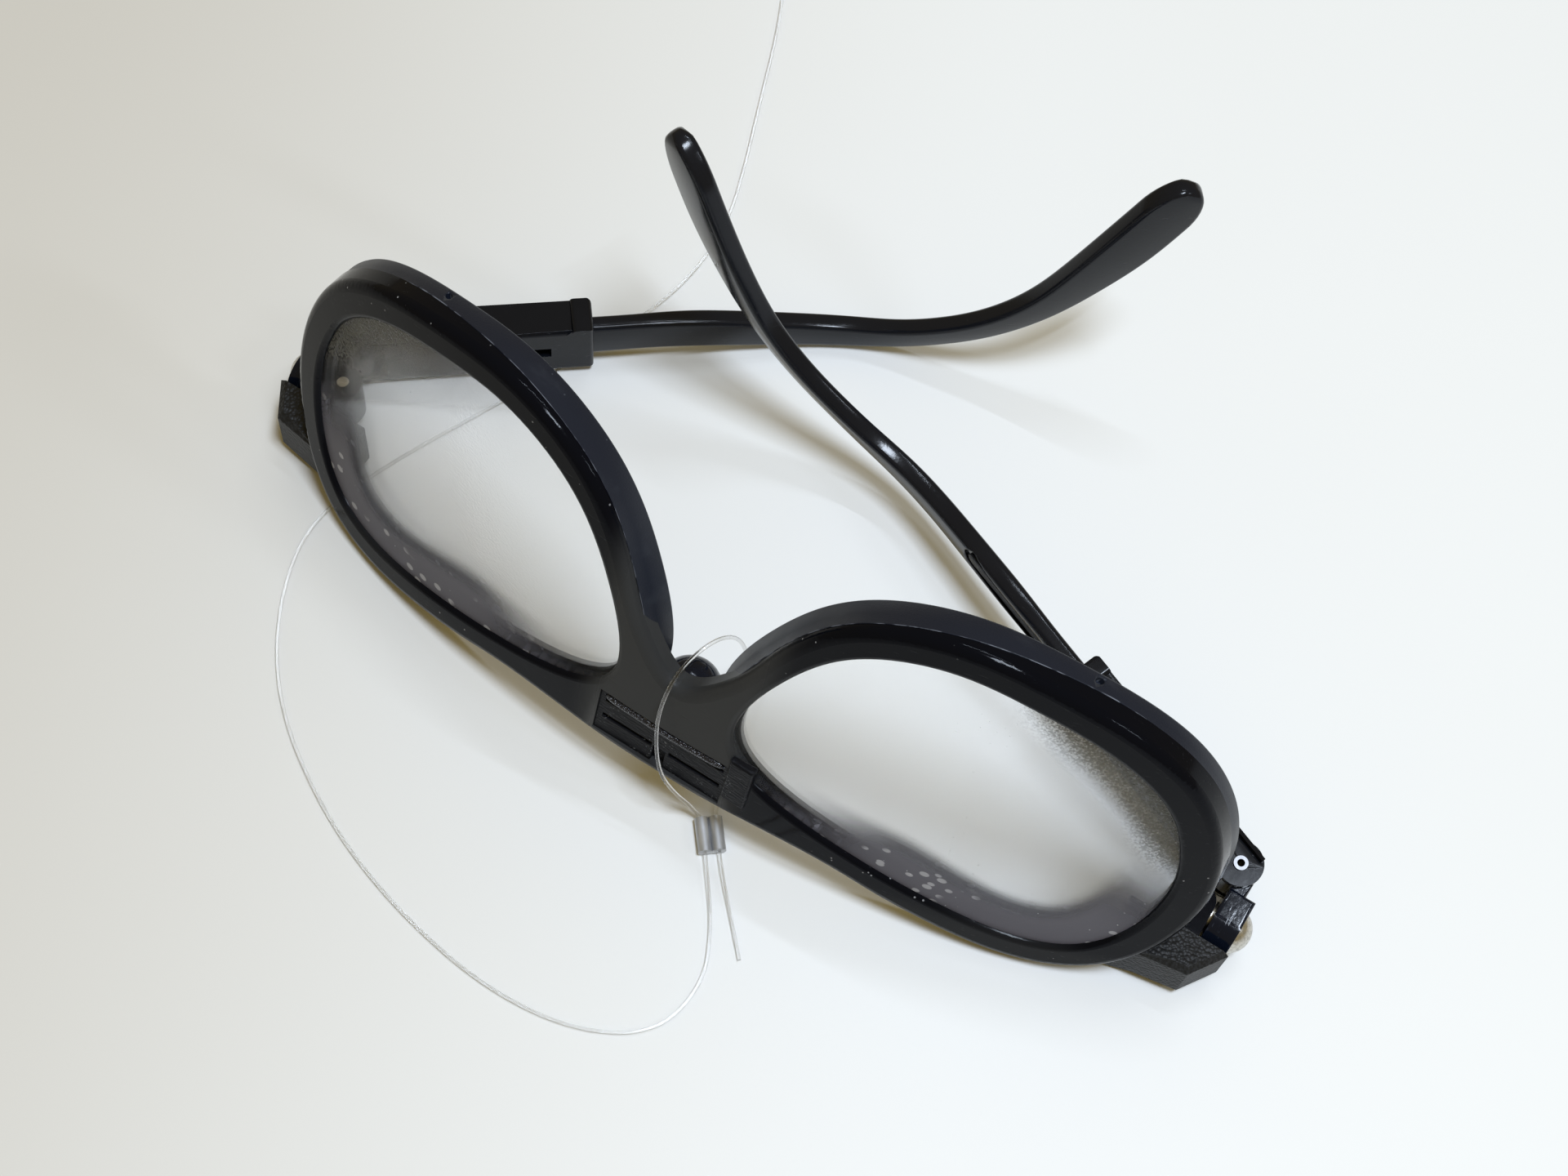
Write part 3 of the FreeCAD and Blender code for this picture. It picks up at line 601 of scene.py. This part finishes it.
RIDGE_U, RIDGE_V, RIDGE_DEPTH, RIDGE_R = (-8.9, 9.1), 13.75, 0.30, 0.55
RIDGE_STEPS, RIDGE_SIDES, RIDGE_BLUNT = 40, 14, 14
form = bmesh.new()
rows = []
for k in range(RIDGE_STEPS + 1):
    u = RIDGE_U[0] + (RIDGE_U[1] - RIDGE_U[0]) * k / RIDGE_STEPS
    from_middle = abs(2 * k / RIDGE_STEPS - 1)
    thick = RIDGE_R * math.sqrt(max(1 - from_middle ** RIDGE_BLUNT, 0.01)) / 1000
    middle_point = on_front(u, RIDGE_V, RIDGE_DEPTH)
    out_way = (on_front(u, RIDGE_V, RIDGE_DEPTH - 1) - middle_point).normalized()
    up_way = (on_front(u, RIDGE_V + 1, RIDGE_DEPTH) - middle_point).normalized()
    rows.append([form.verts.new(middle_point + (out_way * math.sin(a) + up_way * math.cos(a)) * thick)
                 for a in (math.tau * n / RIDGE_SIDES for n in range(RIDGE_SIDES))])
for one, two in zip(rows, rows[1:]):
    for k in range(RIDGE_SIDES):
        n = (k + 1) % RIDGE_SIDES
        form.faces.new((one[k], one[n], two[n], two[k]))
form.faces.new(rows[0])
form.faces.new(rows[-1][::-1])
bmesh.ops.recalc_face_normals(form, faces=form.faces)
ridge_mesh = bpy.data.meshes.new("bridge_ridge")
form.to_mesh(ridge_mesh)
form.free()
g = Graph("glinting_scratched_ridge")
# the sparkle specks are painted glints: lighter specks in the ridge's base colour
sparkle = g.noise(0.00016, 2).clamp(0.57, 0.66)
ridge_black = g.finish(Base_Color=g.mix(sparkle * 0.8, (0.006, 0.007, 0.012), (0.30, 0.32, 0.38)),
                       Roughness=sparkle * 0.2 + 0.16, Normal=g.bump(sparkle, 0.00008, 0.7))
piece("bridge_ridge", ridge_mesh, ridge_black, "front")

g = Graph("scratched_blue_black")
scratch = g.noise(0.0004, 3, (1, 0.15, 0.4)).clamp(0.6, 0.74)
pits = g.noise(0.0007, 3)
blue_black = g.finish(Base_Color=g.mix(scratch * 0.35, (0.004, 0.0062, 0.013), (0.06, 0.072, 0.10)),
                      Roughness=scratch * 0.2 + pits * 0.08 + 0.08, Specular_IOR_Level=0.25,
                      Normal=g.bump(pits - scratch, 0.00003, 0.4))
rounded("bridge_end_block", 0.00030, strip,
        long_radius=0.0004, long_edge=0.0025)
dress("nose_saddle", blue_black)

# ---------------------------------------------------------------- hinge lugs and bosses
# The end pieces are moulded with a fine pebble grain; each carries a round boss that a
# cross rivet passes through, with a steel lock pin pressed in from above.
g = Graph("pebble_grain")
pebble = g.cells(0.00045)
grained = g.finish(
    Base_Color=g.mix(pebble.clamp(0.2, 0.8), (0.011, 0.012, 0.014), (0.005, 0.0055, 0.0065)),
    Roughness=0.50, Specular_IOR_Level=0.3,
    Normal=g.bump(pebble * -1 + g.noise(0.0005) * 0.4, 0.00016, 0.9))
g = Graph("rivet_steel")
turning = g.noise(0.0004, 3)
steel = g.finish(Base_Color=g.mix(turning.clamp(0.4, 0.7), (0.62, 0.60, 0.55), (0.40, 0.385, 0.35)),
                 Roughness=turning * 0.2 + 0.22, Metallic=1.0, Normal=g.bump(turning, 0.00004, 0.4))
g = Graph("dark_eyelet_steel")
dark_steel = g.finish(Base_Color=(0.16, 0.16, 0.165, 1),
                      Roughness=g.noise(0.0004, 3) * 0.2 + 0.25, Metallic=1.0)
for side in ("right", "left"):
    rounded(f"{side}_end_piece", 0.00028, grained)
    rounded(f"{side}_pivot_boss", 0.00025, polished)
    for node in ("tilt_rivet", "lock_pin", "friction_washer"):
        dress(f"{side}_{node}", steel)
    dress(f"{side}_hinge_eyelet", dark_steel)

# ---------------------------------------------------------------- hinge links
# Glossy blue-black blocks between the rivet and the temple's eyelet, with softened edges.
for side in ("right", "left"):
    rounded(f"{side}_hinge_link", 0.00030, blue_black,
            long_radius=0.0005, long_edge=0.003)

# ---------------------------------------------------------------- temple sleeves
# A box sleeve with two eyelet leaves, moulded in black nylon and polished by handling.
g = Graph("handled_nylon")
touch = g.noise(0.007, 4)
nick = g.noise(0.0004, 3, (0.3, 0.3, 1)).clamp(0.66, 0.76)
handled = g.finish(Base_Color=g.mix(nick * 0.4, (0.0045, 0.0055, 0.0085), (0.06, 0.065, 0.075)),
                   Roughness=touch * 0.14 + nick * 0.15 + 0.11, Specular_IOR_Level=0.22,
                   Normal=g.bump(touch - nick * 0.4, 0.0001, 0.4))
for side in ("right", "left"):
    rounded(f"{side}_temple_sleeve", 0.00020, handled,
            long_radius=0.0006, long_edge=0.005)

# ---------------------------------------------------------------- temple arms
# Slim nylon strips that slide in the sleeves, dip, then rise and widen into ear paddles.
# The top edge is rolled and glossy and the flat faces are satin; the right arm has a long
# shallow recess with a rounded end on its inner face.
FOLD_X, FOLD_Y, RIVET_Y, RIVET_Z = 69.7, 32.4, 25.4, 5.2
FOLD_AT_REST, TILT_AT_REST = {"right": 20.9, "left": 38.9}, {"right": 10.4, "left": 0.0}
ARM_HALF_THICK, ARM_CORNER = 1.25, 0.75
ARM_LINE = ((12.0, 5.30, 3.40), (24.0, 5.40, 3.28), (36.0, 5.52, 3.16), (44.0, 5.65, 3.10),
            (54.0, 4.5, 2.9), (64.0, 3.2, 2.5), (70.0, 3.2, 2.35), (76.0, 4.6, 2.25),
            (82.0, 7.8, 2.2), (88.0, 12.2, 2.3), (95.2, 19.7, 2.85), (99.2, 25.5, 3.45),
            (103.2, 31.7, 4.0), (107.0, 38.2, 4.05))
TIP_REACH = {"right": 8.2, "left": 6.6}
BOW = {"left": ((12, 0), (30, 0), (43, 0), (56, -0.2), (70, 0.6), (85, 5.3), (100, 7.8), (118, 6.0)),
       "right": ((12, 0), (30, 0), (43, 0), (56, -0.4), (70, -0.1), (85, 3.6), (100, 6.2), (118, 4.2))}
RECESS_X, RECESS_Z, RECESS_DEPTH, RECESS_END = (36.5, 55.3), (3.8, 7.4), 0.5, 1.8
FLOOR_MARGIN, FLOOR_END = 0.45, 2.2
ARM_STATIONS = 150
ARM_THICKER, THICKER_FROM = 0.15, (38, 48)
TIP_ANGLES = np.radians(np.linspace(9, 88, 10))


def temple_place(side):
    """From the closed left temple's own frame, in millimetres, to its place at rest."""
    sign = 1 if side == "left" else -1
    centre = Vector((0, RIVET_Y, RIVET_Z))
    flip = Matrix.Diagonal((sign, 1, 1, 1))
    fold = Matrix.Translation((-sign * FOLD_X, FOLD_Y, 0)) @ Matrix.Rotation(
        sign * math.radians(FOLD_AT_REST[side]), 4, "Z")
    tilt = Matrix.Translation(centre) @ Matrix.Rotation(
        math.radians(TILT_AT_REST[side]), 4, "X") @ Matrix.Translation(-centre)
    return Matrix.Scale(0.001, 4) @ tilt @ fold @ flip


def arm_section(half_thick, half_high, corner):
    """Across and up places round a strip's section with rolled corners."""
    ring = []
    for quarter, (across, up) in enumerate(((1, 1), (-1, 1), (-1, -1), (1, -1))):
        for k in range(5):
            angle = math.radians(90 * quarter + 22.5 * k)
            ring.append((across * (half_thick - corner) + corner * math.cos(angle),
                         up * (half_high - corner) + corner * math.sin(angle)))
    return ring


def arm_mesh(name, side):
    """The strip swept along the temple's line and closed by an elliptical tip."""
    line = smooth_line(ARM_LINE, False, ARM_STATIONS)
    bow = smooth_line(BOW[side], False, 400)
    along = np.gradient(line[:, :2], axis=0)
    along /= np.linalg.norm(along, axis=1)[:, None]
    tip = [line[-1] + np.array([*(along[-1] * TIP_REACH[side] * math.sin(a)), 0])
           for a in TIP_ANGLES]
    halves = list(line[:, 2]) + [line[-1, 2] * math.cos(a) + 0.02 for a in TIP_ANGLES]
    stations = np.vstack([line, tip])
    along = np.vstack([along, np.repeat(along[-1:], len(TIP_ANGLES), axis=0)])
    form = bmesh.new()
    rows = []
    for (x, z, _), (dx, dz), half in zip(stations, along, halves):
        side_bow = np.interp(x, bow[:, 0], bow[:, 1])
        thick = ARM_HALF_THICK + ARM_THICKER * smoothstep(*THICKER_FROM, x)
        thick *= 0.35 + 0.65 * smoothstep(0, 2.2, half)
        corner = min(ARM_CORNER, half * 0.8, thick * 0.9)
        rows.append([form.verts.new((x - dz * up, -side_bow + across, z + dx * up))
                     for across, up in arm_section(thick, half, corner)])
    for one, two in zip(rows, rows[1:]):
        for k in range(len(one)):
            n = (k + 1) % len(one)
            form.faces.new((one[k], one[n], two[n], two[k]))
    form.faces.new(rows[0])
    form.faces.new(rows[-1][::-1])
    form.transform(temple_place(side))
    bmesh.ops.recalc_face_normals(form, faces=form.faces)
    mesh = bpy.data.meshes.new(name)
    form.to_mesh(mesh)
    form.free()
    return mesh


g = Graph("temple_nylon")
soft = g.noise(0.009, 4)
fine = g.noise(0.0003, 2)
line_marks = g.noise(0.0004, 2, (0.2, 0.2, 1)).clamp(0.67, 0.77)
temple_nylon = g.finish(
    Base_Color=g.mix(line_marks * 0.3 + soft * 0.2, (0.0050, 0.0060, 0.0095), (0.022, 0.024, 0.030)),
    Roughness=soft * 0.12 + line_marks * 0.15 + 0.09, Specular_IOR_Level=0.24,
    Normal=g.bump(fine * 0.3 + soft - line_marks * 0.3, 0.00006, 0.4))
for side in ("right", "left"):
    piece(f"{side}_arm_strip", arm_mesh(f"{side}_arm_strip", side), temple_nylon, f"{side}_arm",
          (f"{side}_temple_arm",))


def capsule(start, end, low, high, near, far):
    """A flat bar with its far end rounded, in the temple's own frame."""
    r = (high - low) / 2
    outline = [(start, low), (end, low)]
    for k in range(1, 12):
        angle = math.pi * k / 12
        outline.append((end + r * math.sin(angle), low + r - r * math.cos(angle)))
    outline += [(end, high), (start, high)]
    form = bmesh.new()
    faces = [form.faces.new([form.verts.new((x, y, z)) for x, z in outline]) for y in (near, far)]
    ends = [list(f.verts) for f in faces]
    for k in range(len(outline)):
        n = (k + 1) % len(outline)
        form.faces.new((ends[0][k], ends[0][n], ends[1][n], ends[1][k]))
    return form


def settle(form, name, side):
    """The form as a mesh, moved to its temple's place at rest."""
    form.transform(temple_place(side))
    bmesh.ops.recalc_face_normals(form, faces=form.faces)
    mesh = bpy.data.meshes.new(name)
    form.to_mesh(mesh)
    form.free()
    return mesh


arm = bpy.data.objects["right_arm_strip"]
inner = -ARM_HALF_THICK
hollow_form = capsule(RECESS_X[0], RECESS_X[1] - RECESS_END, *RECESS_Z, inner - 1.5,
                      inner + RECESS_DEPTH)
cutter = bpy.data.objects.new("recess_cut", settle(hollow_form, "recess_cut", "right"))
scene.collection.objects.link(cutter)
hollow = arm.modifiers.new("recess", "BOOLEAN")
hollow.object, hollow.operation, hollow.solver = cutter, "DIFFERENCE", "EXACT"
bpy.context.view_layer.update()
arm.data = bpy.data.meshes.new_from_object(arm.evaluated_get(bpy.context.evaluated_depsgraph_get()))
arm.modifiers.clear()
bpy.data.objects.remove(cutter)
floor_form = capsule(RECESS_X[0] + 0.1, RECESS_X[1] - FLOOR_END, RECESS_Z[0] + FLOOR_MARGIN,
                     RECESS_Z[1] - FLOOR_MARGIN, inner + 0.18, inner + RECESS_DEPTH + 0.2)
floor_mesh = settle(floor_form, "recess_floor", "right")
piece("right_arm_recess_floor", floor_mesh, strip, "right_arm")
